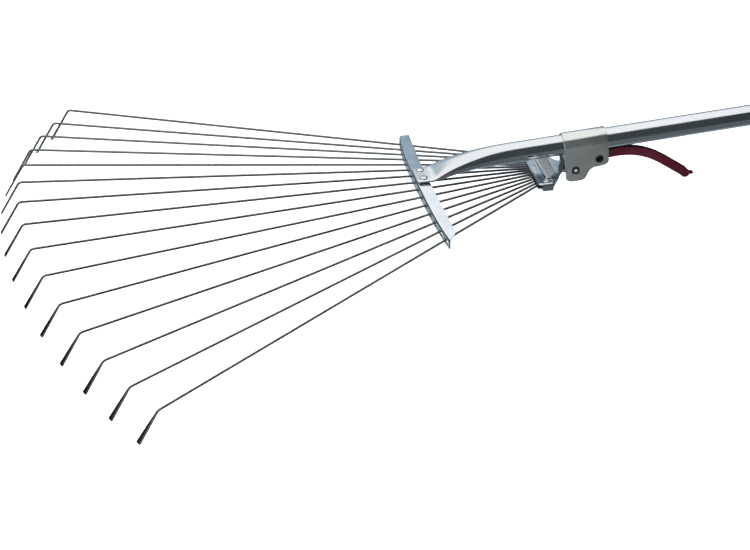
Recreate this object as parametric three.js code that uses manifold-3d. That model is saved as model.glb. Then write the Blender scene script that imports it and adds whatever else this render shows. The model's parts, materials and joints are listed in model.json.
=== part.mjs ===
// Expanding leaf rake: an aluminium tube handle, a slotted cross bar riveted under its flattened front
// end, fifteen spring-wire tines that run through the slots, and a sliding bracket with a cam lever that
// carries the tine head. Sliding the bracket back along the handle draws the tines in and narrows the fan.
//
// Lengths are millimetres. The fan frame has its origin in the middle slot of the cross bar, +X back
// towards the hand, +Y to the left of a person raking and +Z up. The handle frame sits on the tube's axis
// above that origin, tilted up by TUBE_TILT; the tube, bracket, pins and lever are drawn in it.

import * as THREE from 'three';
import { mergeVertices } from 'three/addons/utils/BufferGeometryUtils.js';
import Module from 'manifold-3d';

const wasm = await Module();
wasm.setup();

// ---------------------------------------------------------------- driving dimensions

const GAP = 0.3; // left between neighbouring pieces

const TUBE_RADIUS = 11;
const TUBE_WALL = 1.2;
const TUBE_TILT = 0.0578; // radians between the tube and the fan
const TUBE_RISE = 17.15; // tube axis above the middle slot
const TUBE_END = 1180;
const TUBE_ROUND_FROM = 112; // in front of this the tube is drawn down and flattened
const TUBE_SIDES = 32;
const TONGUE_LENGTH = 18;
const TONGUE_HALF_WIDTH = 16.2;
const TONGUE_THICKNESS = 2 * TUBE_WALL;
const BORE_FRONT = 44;

const TINE_COUNT = 15;
const OUTER = (TINE_COUNT - 1) / 2;
const WIRE = 2.5;
const WIRE_SIDES = 10;
const SLOT_PITCH = 15;
const FAN_APEX = 175.5; // the tines point at a spot this far behind the bar
const PIVOT_X = 136.5; // the row of bent ends that the tines swivel on
const TINE_REACH = 543; // bent end to front bend
const TIP_LENGTH = 40;
const TIP_WIDTH = 6; // where it is beaten flat, at the end
const TIP_THICKNESS = 2.1;
const TIP_ANGLE = THREE.MathUtils.degToRad(59.5); // below the fan
const HOOK_LENGTH = 11;
const HOOK_ANGLE = THREE.MathUtils.degToRad(50); // above the fan

const BAR_HALF_LENGTH = 115;
const BAR_BOW = 8.27; // the outer slots sit this far behind the middle one
const BAR_ARCH = [16.27, -5.43]; // fall of the bar at the outer slots: square and fourth-power parts
const BAR_SHEET = 1.5;
const WEB_ABOVE = 6.5;
const WEB_BELOW = 4.7;
const FLANGE_WIDTH = 13.5;
const FLANGE_END_WIDTH = 11;
const FLANGE_TAPER = 40;
const FLANGE_CORNER = [9.2, 16]; // cut from the flange's corner at its right end
const SLOT_HEIGHT = 4.4;
const BAR_RIVET_X = 8;
const BAR_RIVET_Y = 8.65;
const BAR_RIVET_RADIUS = 2;
const BAR_RIVET_HEAD = 4.25;

const SLIDE_TRAVEL = 100;
const BRACKET_FRONT = 157.5;
const BRACKET_REAR = 204.6;
const BRACKET_LOW = -38.6; // the cheeks' front lobes, below the tube's axis
const BRACKET_SHEET = 1.5;
const BRACKET_INNER = TUBE_RADIUS + GAP;
const BRACKET_OUTER = BRACKET_INNER + BRACKET_SHEET;
const HEAD_PIN = [168.4, -25.7]; // along and above the tube axis
const LEVER_PIN = [194.2, -16.4];
const PIN_RADIUS = 3;
const PIN_BORE = 2;
const PIN_HOLE = PIN_RADIUS + GAP;
const PIN_FLANGE = 4.3;

const LEVER_WIDTH = 6;
const LEVER_DEPTH = [9.8, 9.2]; // at the pin and at the tail
const LEVER_LENGTH = 103; // along its curve, from the pin to where the tail rounds off
const LEVER_DROP = 2; // its spine below the pin's centre
const CAM_WIDTH = 21;

const HEAD_SHEET = 1.5;
const HEAD_ROOF = WIRE / 2 + GAP; // underside of the upper plate, above the row of bent ends
const HEAD_FLOOR = -WIRE / 2 - 1.5; // top of the lower plate, clear of the outer tines' downward slope
const HEAD_FRONT = 122.7;
const HEAD_SIDE = 38.1;
const HEAD_SIDE_FROM = 127.5;
const HEAD_SIDE_TO = 139.2;
const FLANGE_DROP = 5.3;
const SKIRT = 3;
const TANG_FROM = 156;
const TANG_TO = 163;
const EAR_OUTER = 10.8;
const EAR_RADIUS = 4.8;
const HEAD_RIVET = [132.8, 31.8];
const HEAD_RIVET_RADIUS = 1.6;
const HEAD_RIVET_HEAD = 3;

const GRIP_FRONT = 1052;
const GRIP_REAR = 1176;
const GRIP_RADIUS = 13.5;
const CAP_REAR = 1206;
const HANGING_HOLE = 4.5;

// ---------------------------------------------------------------- materials

const finish = (color, metalness, roughness) =>
  new THREE.MeshStandardMaterial({ color, metalness, roughness });
const aluminium = finish(0xc9cdd0, 1, 0.25);
const zinc = finish(0xa9b8c2, 1, 0.3);
const bracketSteel = finish(0x868b84, 0.8, 0.5);
const springSteel = finish(0x7c8488, 1, 0.35);
const rivetSteel = finish(0x5d6264, 1, 0.4);
const leverPaint = finish(0x4a1822, 0, 0.4);
const blackRubber = finish(0x1b1b1d, 0, 0.8);
const blackPlastic = finish(0x151517, 0, 0.5);

// ---------------------------------------------------------------- making solids

// Turns a geometry's faces outwards if they point in.
function outward(geometry) {
  const p = geometry.attributes.position;
  const corners = [0, 1, 2].map(() => new THREE.Vector3());
  let volume = 0;
  for (let i = 0; i < geometry.index.count; i += 3) {
    corners.forEach((c, j) => c.fromBufferAttribute(p, geometry.index.getX(i + j)));
    volume += corners[0].dot(corners[1].cross(corners[2]));
  }
  if (volume < 0) geometry.index.array.reverse();
  return geometry;
}

// A closed body through rings of points, the first and last ring capped. cap lists the triangles that
// fill a ring; without it the ring is convex and is filled as a fan.
function loft(rings, cap) {
  const n = rings[0].length;
  const forward = (triangles) => triangles.some((t) => t.some((a, i) => (t[(i + 1) % 3] - a + n) % n === 1));
  let fill = cap ?? Array.from({ length: n - 2 }, (_, i) => [0, i + 1, i + 2]);
  if (!forward(fill)) fill = fill.map(([a, b, c]) => [c, b, a]);
  const index = [];
  for (let r = 0; r + 1 < rings.length; r++) {
    for (let i = 0; i < n; i++) {
      const a = r * n + i;
      const b = r * n + ((i + 1) % n);
      index.push(a, b, b + n, a, b + n, a + n);
    }
  }
  const last = (rings.length - 1) * n;
  for (const [a, b, c] of fill) index.push(c, b, a, last + a, last + b, last + c);
  const geometry = new THREE.BufferGeometry().setFromPoints(rings.flat());
  geometry.setIndex(index);
  return outward(geometry);
}

function solid(geometry) {
  const bare = geometry.clone();
  bare.deleteAttribute('normal');
  bare.deleteAttribute('uv');
  const merged = mergeVertices(bare);
  return new wasm.Manifold(new wasm.Mesh({
    numProp: 3,
    vertProperties: merged.attributes.position.array,
    triVerts: Uint32Array.from(merged.index.array),
  }));
}

function geometryOf(body) {
  const { vertProperties, triVerts } = body.getMesh();
  const geometry = new THREE.BufferGeometry();
  geometry.setAttribute('position', new THREE.BufferAttribute(vertProperties, 3));
  geometry.setIndex(new THREE.BufferAttribute(triVerts, 1));
  return geometry;
}

// Joins the first list and cuts the second from it.
function carve(add, cut = []) {
  let body = add.map(solid).reduce((sum, next) => sum.add(next));
  for (const tool of cut) body = body.subtract(solid(tool));
  return geometryOf(body);
}

// A side view, drawn in X and Z, given a width across Y about y.
function sideways(shape, width, y = 0, curveSegments = 12) {
  return new THREE.ExtrudeGeometry(shape, { depth: width, bevelEnabled: false, curveSegments })
    .rotateX(Math.PI / 2).translate(0, y + width / 2, 0);
}

// A plan, drawn in X and Y, between two heights.
function plate(shape, low, high, curveSegments = 8) {
  return new THREE.ExtrudeGeometry(shape, { depth: high - low, bevelEnabled: false, curveSegments })
    .translate(0, 0, low);
}

function outline(points) {
  return new THREE.Shape(points.map(([a, b]) => new THREE.Vector2(a, b)));
}

// The same outline on both sides of the X axis, from its left half.
function mirrored(half) {
  return outline([...half, ...half.map(([x, y]) => [x, -y]).reverse()]);
}

function crossCylinder(radius, width, x, z, sides = 24) {
  return new THREE.CylinderGeometry(radius, radius, width, sides).translate(x, 0, z);
}

function uprightCylinder(radius, low, high, x, y, sides = 20) {
  return new THREE.CylinderGeometry(radius, radius, high - low, sides)
    .rotateX(Math.PI / 2).translate(x, y, (low + high) / 2);
}

// ---------------------------------------------------------------- handle

// Half width, half height, centre height and squareness of the tube at a station along it.
function tubeSection(x) {
  const tongueDrop = TUBE_RISE - WEB_ABOVE - GAP - TONGUE_THICKNESS / 2;
  if (x <= TONGUE_LENGTH) {
    const lift = -tongueDrop - TUBE_TILT * x;
    return { wide: TONGUE_HALF_WIDTH, high: TONGUE_THICKNESS / 2, lift, square: 7 };
  }
  const left = Math.max(0, 1 - (x - TONGUE_LENGTH) / (TUBE_ROUND_FROM - TONGUE_LENGTH));
  return {
    wide: TUBE_RADIUS + (TONGUE_HALF_WIDTH - TUBE_RADIUS) * left ** 1.6,
    high: TUBE_RADIUS - (TUBE_RADIUS - TONGUE_THICKNESS / 2) * left ** 2.6,
    lift: -(tongueDrop + TUBE_TILT * TONGUE_LENGTH) * left ** 3.2,
    square: 2 + 5 * left ** 6,
  };
}

function tubeRing(x, inset) {
  const { wide, high, lift, square } = tubeSection(x);
  const bulge = (v) => Math.sign(v) * Math.abs(v) ** (2 / square);
  return Array.from({ length: TUBE_SIDES }, (_, i) => {
    const angle = (2 * Math.PI * i) / TUBE_SIDES;
    const y = (wide - inset) * bulge(Math.cos(angle));
    return new THREE.Vector3(x, y, lift + (high - inset) * bulge(Math.sin(angle)));
  });
}

function handleTube() {
  const flare = TUBE_ROUND_FROM - TONGUE_LENGTH;
  const steps = 10;
  const stations = Array.from({ length: steps + 1 }, (_, i) => TONGUE_LENGTH + flare * (i / steps) ** 1.5);
  const inside = stations.filter((x) => x > BORE_FRONT).reverse();
  const tube = loft([
    ...[0, ...stations, TUBE_END].map((x) => tubeRing(x, 0)),
    ...[TUBE_END, ...inside, BORE_FRONT].map((x) => tubeRing(x, TUBE_WALL)),
  ]);
  const tongue = tubeSection(BAR_RIVET_X).lift;
  const holeX = BAR_RIVET_X + tongue * TUBE_TILT;
  const holes = [-1, 1].map((side) =>
    uprightCylinder(BAR_RIVET_RADIUS + GAP, tongue - 4, tongue + 4, holeX, side * BAR_RIVET_Y));
  return carve([tube], holes);
}

function handGrip() {
  const outer = [[GRIP_FRONT, GRIP_RADIUS - 1], [GRIP_FRONT + 2, GRIP_RADIUS]];
  const cuff = 8;
  const grooves = 5;
  const floor = GRIP_RADIUS - 0.8;
  const pitch = (GRIP_REAR - GRIP_FRONT - 2 * cuff) / grooves;
  for (let i = 0; i < grooves; i++) {
    const x = GRIP_FRONT + cuff + i * pitch;
    outer.push([x, GRIP_RADIUS], [x + 2, floor], [x + 5, floor], [x + 7, GRIP_RADIUS]);
  }
  outer.push([GRIP_REAR, GRIP_RADIUS]);
  const bore = TUBE_RADIUS + GAP;
  return turned([[GRIP_FRONT, bore], ...outer, [GRIP_REAR, bore], [GRIP_FRONT, bore]], 20);
}

// A body turned about the X axis from points along it and out from it.
function turned(profile, sides) {
  const points = profile.map(([x, radius]) => new THREE.Vector2(radius, x));
  const geometry = new THREE.LatheGeometry(points, sides).rotateZ(-Math.PI / 2);
  return geometryOf(solid(geometry));
}

function endCap() {
  const plug = TUBE_RADIUS - TUBE_WALL - GAP;
  const body = turned([
    [TUBE_END - 22, 0], [TUBE_END - 22, plug - 1], [TUBE_END - 20, plug], [TUBE_END + GAP, plug],
    [TUBE_END + GAP, GRIP_RADIUS], [CAP_REAR - 2, GRIP_RADIUS], [CAP_REAR, GRIP_RADIUS - 2], [CAP_REAR, 0],
  ], 28);
  const middle = (TUBE_END + CAP_REAR) / 2;
  return carve([body], [crossCylinder(HANGING_HOLE, 3 * GRIP_RADIUS, middle, 0, 20)]);
}

// ---------------------------------------------------------------- cross bar

// Where the bar's slotted web runs: how far back and how far down at y.
const barBack = (y) => BAR_BOW * (y / (OUTER * SLOT_PITCH)) ** 2;
const barFall = (y) => {
  const share = (y / (OUTER * SLOT_PITCH)) ** 2;
  return BAR_ARCH[0] * share + BAR_ARCH[1] * share ** 2;
};

function barProfile(y) {
  const beyond = Math.max(0, Math.abs(y) - (BAR_HALF_LENGTH - FLANGE_TAPER)) / FLANGE_TAPER;
  const width = FLANGE_WIDTH - (FLANGE_WIDTH - FLANGE_END_WIDTH) * beyond;
  const round = BAR_SHEET;
  const corner = [0, 1, 2, 3].map((i) => {
    const angle = Math.PI - (Math.PI / 2) * (i / 3);
    return [round + round * Math.cos(angle), WEB_ABOVE - round + round * Math.sin(angle)];
  });
  return [
    [0, -WEB_BELOW], ...corner, [width, WEB_ABOVE], [width, WEB_ABOVE - BAR_SHEET],
    [BAR_SHEET, WEB_ABOVE - BAR_SHEET], [BAR_SHEET, -WEB_BELOW],
  ];
}

// The tine's path as seen from above, when the bracket has moved back by slide.
function tineTurn(k, slide) {
  const across = k * SLOT_PITCH - pivotY(k);
  const along = PIVOT_X - barBack(k * SLOT_PITCH) + slide;
  return Math.atan2(across, along);
}

// A slot is as wide as its tine's slanting wire, and wider on the outside, where the tine swings clear of the
// straight line between its two end positions.
function barSlot(k) {
  const steepest = Math.abs(tineTurn(k, 0));
  const drawnIn = Math.abs(tineTurn(k, SLIDE_TRAVEL));
  const halfway = Math.abs(tineTurn(k, SLIDE_TRAVEL / 2));
  const swing = ((steepest + drawnIn) / 2 - halfway) * (PIVOT_X + SLIDE_TRAVEL / 2) / Math.cos(halfway) ** 2;
  const width = WIRE / Math.cos(steepest) + BAR_SHEET * Math.tan(steepest) + 3 * GAP + swing;
  const y = k * SLOT_PITCH + (Math.sign(k) * swing) / 2;
  const end = Math.min(width, SLOT_HEIGHT) / 2;
  const flat = width / 2 - end;
  const shape = new THREE.Shape();
  shape.absarc(flat, 0, end, -Math.PI / 2, Math.PI / 2);
  shape.absarc(-flat, 0, end, Math.PI / 2, (3 * Math.PI) / 2);
  shape.closePath();
  const slope = Math.atan((barFall(y + 1) - barFall(y - 1)) / 2);
  return new THREE.ExtrudeGeometry(shape, { depth: 8 * BAR_SHEET, bevelEnabled: false, curveSegments: 4 })
    .scale(1, SLOT_HEIGHT / (2 * end), 1)
    .rotateZ(-slope).rotateX(Math.PI / 2).rotateZ(Math.PI / 2)
    .translate(barBack(y) - 4 * BAR_SHEET, y, -barFall(y));
}

function crossBar() {
  const steps = 24;
  const rings = Array.from({ length: steps + 1 }, (_, i) => {
    const y = BAR_HALF_LENGTH * ((2 * i) / steps - 1);
    return barProfile(y).map(([x, z]) => new THREE.Vector3(x + barBack(y), y, z - barFall(y)));
  });
  const flat = barProfile(0).map(([x, z]) => new THREE.Vector2(x, z));
  const bar = loft(rings, THREE.ShapeUtils.triangulateShape(flat, []));
  const low = WEB_ABOVE - 3 * BAR_SHEET;
  const high = WEB_ABOVE + BAR_SHEET;
  const holes = [-1, 1].map((side) =>
    uprightCylinder(BAR_RIVET_RADIUS + GAP, low, high, BAR_RIVET_X, side * BAR_RIVET_Y));
  const end = barBack(BAR_HALF_LENGTH) + BAR_SHEET;
  const [deep, long] = FLANGE_CORNER;
  const corner = plate(outline([
    [end, -BAR_HALF_LENGTH], [end + deep, long - BAR_HALF_LENGTH], [end + 2 * deep, long - BAR_HALF_LENGTH],
    [end + 2 * deep, -BAR_HALF_LENGTH - 1], [end, -BAR_HALF_LENGTH - 1]]), -4 * WEB_ABOVE, 2 * WEB_ABOVE);
  return carve([bar], [...holes, corner, ...tineNumbers.map(barSlot)]);
}

// A rivet standing up: domed head above, flat closing head below.
function rivet(shank, head, low, high) {
  const dome = Array.from({ length: 5 }, (_, i) => {
    const angle = (Math.PI / 2) * (i / 4);
    return new THREE.Vector2(head * Math.cos(angle), high + 0.42 * head * Math.sin(angle));
  });
  dome[4].x = 0;
  const profile = [
    new THREE.Vector2(0, low - 1.2), new THREE.Vector2(0.8 * head, low - 1.2),
    new THREE.Vector2(0.8 * head, low), new THREE.Vector2(shank, low),
    new THREE.Vector2(shank, high), ...dome,
  ];
  return geometryOf(solid(new THREE.LatheGeometry(profile, 20).rotateX(Math.PI / 2)));
}

// ---------------------------------------------------------------- bracket, pins and lever

function sliderBracket() {
  const bottom = BRACKET_LOW - 6;
  const saddle = new THREE.Shape();
  saddle.moveTo(BRACKET_OUTER, bottom);
  saddle.lineTo(BRACKET_OUTER, 0);
  saddle.absarc(0, 0, BRACKET_OUTER, 0, Math.PI);
  saddle.lineTo(-BRACKET_OUTER, bottom);
  saddle.lineTo(-BRACKET_INNER, bottom);
  saddle.lineTo(-BRACKET_INNER, 0);
  saddle.absarc(0, 0, BRACKET_INNER, Math.PI, 0, true);
  saddle.lineTo(BRACKET_INNER, bottom);
  const length = BRACKET_REAR - BRACKET_FRONT;
  const folded = new THREE.ExtrudeGeometry(saddle, { depth: length, bevelEnabled: false, curveSegments: 20 })
    .rotateX(Math.PI / 2).rotateZ(Math.PI / 2).translate(BRACKET_FRONT, 0, 0);

  const lobe = BRACKET_FRONT + 16.5;
  const waist = BRACKET_LOW + 13.2;
  const cheek = new THREE.Shape();
  cheek.moveTo(BRACKET_FRONT - 1, 20);
  cheek.lineTo(BRACKET_FRONT - 1, BRACKET_LOW + 5.6);
  cheek.lineTo(BRACKET_FRONT + 0.2, BRACKET_LOW + 4.6);
  cheek.lineTo(BRACKET_FRONT + 4.5, BRACKET_LOW + 0.4);
  cheek.lineTo(lobe, BRACKET_LOW);
  cheek.bezierCurveTo(lobe + 8, BRACKET_LOW, lobe + 5.5, waist - 0.8, lobe + 16, waist);
  cheek.lineTo(BRACKET_REAR - 5.6, waist + 0.6);
  cheek.quadraticCurveTo(BRACKET_REAR, waist + 1.4, BRACKET_REAR, waist + 7.4);
  cheek.lineTo(BRACKET_REAR + 1, 20);
  const body = solid(folded).intersect(solid(sideways(cheek, 4 * BRACKET_OUTER)));
  const holes = [HEAD_PIN, LEVER_PIN].map(([x, z]) =>
    solid(crossCylinder(PIN_HOLE, 4 * BRACKET_OUTER, x, z)));
  return holes.reduce((rest, hole) => rest.subtract(hole), body);
}

// A hollow rivet right across the bracket, its ends rolled out over the cheeks.
function hollowPin() {
  const inside = BRACKET_OUTER + GAP;
  const outside = inside + 1.1;
  const profile = [
    [PIN_BORE, -outside], [PIN_FLANGE - 0.5, -outside], [PIN_FLANGE, -inside - 0.4], [PIN_FLANGE, -inside],
    [PIN_RADIUS, -inside], [PIN_RADIUS, inside], [PIN_FLANGE, inside], [PIN_FLANGE, inside + 0.4],
    [PIN_FLANGE - 0.5, outside], [PIN_BORE, outside], [PIN_BORE, -outside],
  ];
  return new THREE.LatheGeometry(profile.map(([r, y]) => new THREE.Vector2(r, y)), 16);
}

// The lever's spine leaves the pin almost level, then bends down and away from the tube.
function leverSpine() {
  const steps = 28;
  const heading = (s) => THREE.MathUtils.degToRad(
    THREE.MathUtils.lerp(4, -39, THREE.MathUtils.smoothstep(s, 6, 84)));
  const spine = [{ x: LEVER_PIN[0], z: LEVER_PIN[1] - LEVER_DROP, angle: heading(0) }];
  for (let i = 1; i <= steps; i++) {
    const angle = heading((LEVER_LENGTH * (i - 0.5)) / steps);
    const { x, z } = spine.at(-1);
    const step = LEVER_LENGTH / steps;
    spine.push({ x: x + step * Math.cos(angle), z: z + step * Math.sin(angle), angle });
  }
  return spine;
}

// A lever that rounds off at its tail, with a small lip for the fingers.
function lockLever() {
  const spine = leverSpine();
  const edge = (side) => spine.map(({ x, z, angle }, i) => {
    const half = THREE.MathUtils.lerp(...LEVER_DEPTH, i / (spine.length - 1)) / 2 * side;
    return [x - half * Math.sin(angle), z + half * Math.cos(angle)];
  });
  const { x, z, angle } = spine.at(-1);
  const along = (s, up) => [
    x + s * Math.cos(angle) - up * Math.sin(angle), z + s * Math.sin(angle) + up * Math.cos(angle)];
  const tail = [
    along(4, 4), along(8, 2.9), along(9.6, 3.3), along(11.6, 4.7), along(11.9, 3.8),
    along(10.2, 2), along(8.8, 1), along(8.4, -1.4), along(7, -3.8), along(4.6, -4.9), along(2.2, -4.9)];
  const arm = sideways(outline([...edge(1), ...tail, ...edge(-1).reverse()]), LEVER_WIDTH);
  const cam = new THREE.Shape();
  cam.absarc(0, 0, -LEVER_PIN[1] - TUBE_RADIUS - GAP, -Math.PI / 6, 0.62 * Math.PI);
  cam.absarc(0, 0, 4.4, 0.72 * Math.PI, 1.75 * Math.PI);
  const barrel = sideways(cam, CAM_WIDTH).translate(LEVER_PIN[0], 0, LEVER_PIN[1]);
  return carve([arm, barrel], [crossCylinder(PIN_HOLE, 2 * CAM_WIDTH, ...LEVER_PIN)]);
}

// ---------------------------------------------------------------- tine head

// The head pin's place in the fan frame.
const headPin = {
  x: HEAD_PIN[0] * Math.cos(TUBE_TILT) - HEAD_PIN[1] * Math.sin(TUBE_TILT),
  z: TUBE_RISE + HEAD_PIN[0] * Math.sin(TUBE_TILT) + HEAD_PIN[1] * Math.cos(TUBE_TILT),
};

// The plate's edges are turned down: deep side flanges, shallow skirts behind them, and two ears for the pin.
function headTopPlate() {
  const low = HEAD_ROOF;
  const high = HEAD_ROOF + HEAD_SHEET;
  const inner = HEAD_SIDE - HEAD_SHEET;
  const shape = mirrored([
    [HEAD_FRONT, 35.3], [HEAD_SIDE_FROM, HEAD_SIDE], [HEAD_SIDE_TO, HEAD_SIDE], [147.2, 24.6],
    [TANG_FROM, EAR_OUTER], [TANG_TO, EAR_OUTER],
  ]);
  const window = mirrored([[134.2, 26.6], [140.4, 26.6], [146.4, 20]]);
  const lip = new THREE.BoxGeometry(2.8, 70, 1).translate(HEAD_FRONT + 1.4, 0, high + 0.4);
  const pieces = [plate(shape, low, high), lip];
  for (const side of [-1, 1]) {
    const flange = [
      [HEAD_SIDE_FROM, inner], [HEAD_SIDE_FROM, HEAD_SIDE], [HEAD_SIDE_TO, HEAD_SIDE], [HEAD_SIDE_TO, inner]];
    const skirt = [
      [HEAD_SIDE_TO, HEAD_SIDE], [147.2, 24.6], [TANG_FROM, EAR_OUTER], [TANG_TO, EAR_OUTER],
      [TANG_TO, EAR_OUTER - HEAD_SHEET], [TANG_FROM - 0.9, EAR_OUTER - HEAD_SHEET], [145.8, 24],
      [HEAD_SIDE_TO - 1.1, inner]];
    pieces.push(plate(outline(flange.map(([x, y]) => [x, side * y])), -FLANGE_DROP, high));
    pieces.push(plate(outline(skirt.map(([x, y]) => [x, side * y])), high - SKIRT, high));
    const ear = new THREE.Shape();
    ear.moveTo(TANG_FROM, high);
    ear.lineTo(TANG_FROM, -0.5);
    ear.lineTo(headPin.x, headPin.z - EAR_RADIUS);
    ear.absarc(headPin.x, headPin.z, EAR_RADIUS, -Math.PI / 2, Math.PI / 2);
    pieces.push(sideways(ear, HEAD_SHEET, side * (EAR_OUTER - HEAD_SHEET / 2)));
  }
  const rivets = [-1, 1].map((side) =>
    uprightCylinder(HEAD_RIVET_RADIUS + GAP, 0, 9, HEAD_RIVET[0], side * HEAD_RIVET[1]));
  const pin = crossCylinder(PIN_HOLE, 3 * EAR_OUTER, headPin.x, headPin.z);
  return carve(pieces, [plate(window, low - 1, high + 2), pin, ...rivets]);
}

function headBottomPlate() {
  const side = HEAD_SIDE - HEAD_SHEET - GAP;
  const shape = mirrored([
    [HEAD_FRONT + 0.8, 34], [HEAD_SIDE_FROM + GAP, side], [HEAD_SIDE_TO, side], [146.8, 23.5], [152, 14]]);
  const holes = [-1, 1].map((s) =>
    uprightCylinder(HEAD_RIVET_RADIUS + GAP, -9, 0, HEAD_RIVET[0], s * HEAD_RIVET[1]));
  return carve([plate(shape, HEAD_FLOOR - HEAD_SHEET, HEAD_FLOOR)], holes);
}

// ---------------------------------------------------------------- tines

const tineNumbers = Array.from({ length: TINE_COUNT }, (_, i) => OUTER - i); // left to right

function pivotY(k) {
  return (k * SLOT_PITCH * (FAN_APEX - PIVOT_X)) / FAN_APEX;
}

// Points and headings along a wire with a rounded corner between each two straight stretches.
function wirePath(corners, bend) {
  const path = [{ at: corners[0], way: corners[1].clone().sub(corners[0]).normalize() }];
  for (let i = 1; i + 1 < corners.length; i++) {
    const before = corners[i - 1].clone().sub(corners[i]).normalize();
    const after = corners[i + 1].clone().sub(corners[i]).normalize();
    const from = corners[i].clone().addScaledVector(before, bend);
    const to = corners[i].clone().addScaledVector(after, bend);
    const curve = new THREE.QuadraticBezierCurve3(from, corners[i], to);
    for (const t of [0, 0.33, 0.67, 1]) path.push({ at: curve.getPoint(t), way: curve.getTangent(t) });
  }
  const last = corners.at(-1);
  return [...path, { at: last, way: last.clone().sub(corners.at(-2)).normalize() }];
}

// The wire's ring at one place: its width along flat, which is square to the front bend, and its thickness.
function wireRing({ at, way }, flat, thick, wide) {
  const across = flat.clone().addScaledVector(way, -flat.dot(way)).normalize();
  const up = new THREE.Vector3().crossVectors(way, across);
  return Array.from({ length: WIRE_SIDES }, (_, i) => {
    const angle = (2 * Math.PI * (i + 0.5)) / WIRE_SIDES;
    return at.clone().addScaledVector(across, (wide / 2) * Math.cos(angle))
      .addScaledVector(up, (thick / 2) * Math.sin(angle));
  });
}

// One tine: a short end bent up in the head's window, the long spring wire, and the bent tip, which is beaten
// wider and flatter towards its end.
function tine(k) {
  const pivot = new THREE.Vector3(PIVOT_X, pivotY(k), 0);
  const y = k * SLOT_PITCH;
  const slot = new THREE.Vector3(barBack(y) + BAR_SHEET / 2, y, -barFall(y));
  const run = slot.clone().sub(pivot).normalize();
  const hook = pivot.clone().add(
    new THREE.Vector3(Math.cos(HOOK_ANGLE), 0, Math.sin(HOOK_ANGLE)).multiplyScalar(HOOK_LENGTH));
  const bend = pivot.clone().addScaledVector(run, TINE_REACH);
  const down = new THREE.Vector3(-Math.cos(TIP_ANGLE), 0, -Math.sin(TIP_ANGLE));
  const flat = new THREE.Vector3().crossVectors(down, run);
  const tip = (s) => ({ at: bend.clone().addScaledVector(down, s), way: down });
  const wire = wirePath([hook, pivot, bend, tip(4).at], 3).map((p) => wireRing(p, flat, WIRE, WIRE));
  return loft([
    ...wire,
    wireRing(tip(11), flat, WIRE, 1.35 * WIRE),
    wireRing(tip(TIP_LENGTH - 1.5), flat, TIP_THICKNESS, TIP_WIDTH),
    wireRing(tip(TIP_LENGTH), flat, 0.7 * TIP_THICKNESS, 0.75 * TIP_WIDTH),
  ]);
}

// ---------------------------------------------------------------- assembly

const rake = new THREE.Group();
const handle = new THREE.Group();
handle.position.z = TUBE_RISE;
handle.rotation.y = -TUBE_TILT;
rake.add(handle);

function place(parent, name, geometry, material, x = 0, y = 0, z = 0) {
  const mesh = new THREE.Mesh(geometry, material);
  mesh.name = name;
  mesh.position.set(x, y, z);
  geometry.computeVertexNormals();
  parent.add(mesh);
}

place(handle, 'handle_tube', handleTube(), aluminium);
place(handle, 'hand_grip', handGrip(), blackRubber);
place(handle, 'end_cap', endCap(), blackPlastic);
place(handle, 'slider_bracket', geometryOf(sliderBracket()), bracketSteel);
place(handle, 'head_pin', hollowPin(), rivetSteel, HEAD_PIN[0], 0, HEAD_PIN[1]);
place(handle, 'lever_pin', hollowPin(), rivetSteel, LEVER_PIN[0], 0, LEVER_PIN[1]);
place(handle, 'lock_lever', lockLever(), leverPaint);

place(rake, 'cross_bar', crossBar(), zinc);
place(rake, 'head_top_plate', headTopPlate(), zinc);
place(rake, 'head_bottom_plate', headBottomPlate(), zinc);
for (const [side, name] of [[1, 'left'], [-1, 'right']]) {
  const tongueTop = WEB_ABOVE + 2 * GAP + TONGUE_THICKNESS;
  const barRivet = rivet(BAR_RIVET_RADIUS, BAR_RIVET_HEAD, WEB_ABOVE - BAR_SHEET - GAP, tongueTop);
  place(rake, `bar_rivet_${name}`, barRivet, zinc, BAR_RIVET_X, side * BAR_RIVET_Y);
  const headLow = HEAD_FLOOR - HEAD_SHEET - GAP;
  const headHigh = HEAD_ROOF + HEAD_SHEET + GAP;
  const headRivet = rivet(HEAD_RIVET_RADIUS, HEAD_RIVET_HEAD, headLow, headHigh);
  place(rake, `head_rivet_${name}`, headRivet, zinc, HEAD_RIVET[0], side * HEAD_RIVET[1]);
}
tineNumbers.forEach((k, i) => {
  place(rake, `tine_${String(i + 1).padStart(2, '0')}`, tine(k), springSteel);
});

// The rake lies on the ground on its outer tine tips and the end of its grip, over the middle of its own box.
const outerTip = new THREE.Box3().setFromObject(rake.getObjectByName('tine_01'));
const capFoot = new THREE.Vector3(CAP_REAR - 2, 0, -GRIP_RADIUS).applyMatrix4(
  new THREE.Matrix4().makeRotationY(-TUBE_TILT).setPosition(0, 0, TUBE_RISE));
rake.rotation.y = Math.atan2(capFoot.z - outerTip.min.z, capFoot.x - outerTip.min.x);

const part = new THREE.Group();
part.add(rake);
const box = new THREE.Box3().setFromObject(part, true);
part.position.set(-(box.min.x + box.max.x) / 2, -(box.min.y + box.max.y) / 2, -box.min.z);

export default part;
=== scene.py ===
"""An expanding leaf rake: drawn aluminium handle, slotted zinc cross bar, fifteen spring-wire tines, and a
sliding bracket with a lock lever that carries the tine head.

Pieces are drawn in millimetres in two local frames. The fan frame has its origin in the middle slot of the
cross bar, +X back towards the hand, +Y to the left of a person raking and +Z up. The handle frame sits on
the tube's axis above that origin, tilted up by TUBE_TILT. settle() carries each piece into the row frame.
"""

import json
import math

import bmesh
import bpy
from mathutils import Matrix, Vector

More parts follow.
